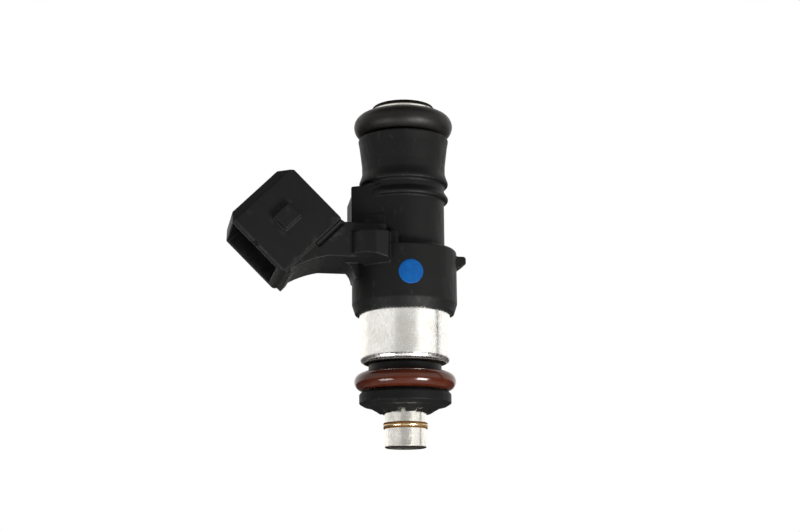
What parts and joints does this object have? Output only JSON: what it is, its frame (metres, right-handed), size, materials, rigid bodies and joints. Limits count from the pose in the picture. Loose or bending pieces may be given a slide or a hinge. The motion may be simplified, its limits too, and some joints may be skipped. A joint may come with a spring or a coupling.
{
  "type": "port fuel injector",
  "caption": "Solenoid port fuel injector with a side connector socket on a slanted arm, sealing rings at both ends, an inlet strainer and a lifting needle valve.",
  "frame": {"origin": "centre of the lower sealing ring on the injector's axis, where it sits in the manifold bore", "axes": "+Z along the axis towards the fuel inlet, -X towards the electrical connector on its arm, Y across the arm"},
  "size_m": [0.0344, 0.0166, 0.0504],
  "materials": {
    "body_plastic": "fine grained, glass filled",
    "sleeve_steel": "drawn and turned, satin",
    "housing_steel": "bright zinc plated, drawn",
    "washer_steel": "plain pressed",
    "bobbin_plastic": "plain moulded",
    "copper_wire": "enamelled wire",
    "terminal_tin": "tin plated strip",
    "core_steel": "turned",
    "spring_steel": "drawn wire",
    "needle_steel": "rolled tube",
    "ball_steel": "lapped",
    "seat_steel": "ground",
    "plate_steel": "etched sheet",
    "filter_brass": "drawn",
    "filter_plastic": "natural nylon",
    "filter_weave": "woven strainer",
    "seal_black": "lightly oiled",
    "seal_brown": "smooth fluoro rubber",
    "ring_plastic": "plain",
    "cap_plastic": "fine grained",
    "band_brass": "dull",
    "dot_paint": "blue paint"
  },
  "bodies": {
    "injector": {"overmold": "body_plastic", "valve_sleeve": "sleeve_steel", "coil_housing": "housing_steel", "flux_washer": "washer_steel", "coil_bobbin": "bobbin_plastic", "coil_winding": "copper_wire", "terminal_front": "terminal_tin", "terminal_rear": "terminal_tin", "inner_pole": "core_steel", "adjusting_sleeve": "sleeve_steel", "closing_spring": "spring_steel", "valve_seat": "seat_steel", "orifice_plate": "plate_steel", "filter_ring": "filter_brass", "filter_cage": "filter_plastic", "filter_mesh": "filter_weave", "upper_seal_ring": "seal_black", "lower_seal_ring": "seal_brown", "backup_ring": "ring_plastic", "retaining_cap": "cap_plastic", "tip_band": "band_brass", "paint_dot": "dot_paint"},
    "needle": {"armature": "core_steel", "needle_tube": "needle_steel", "valve_ball": "ball_steel"}
  },
  "joints": [
    {"name": "needle_lift", "type": "slide", "parent": "injector", "child": "needle", "axis": [0, 0, 1], "range_m": [0, 0.0001], "stiffness_N_per_m": 2280, "springref_m": -0.0015, "deforming": ["closing_spring"]}
  ]
}
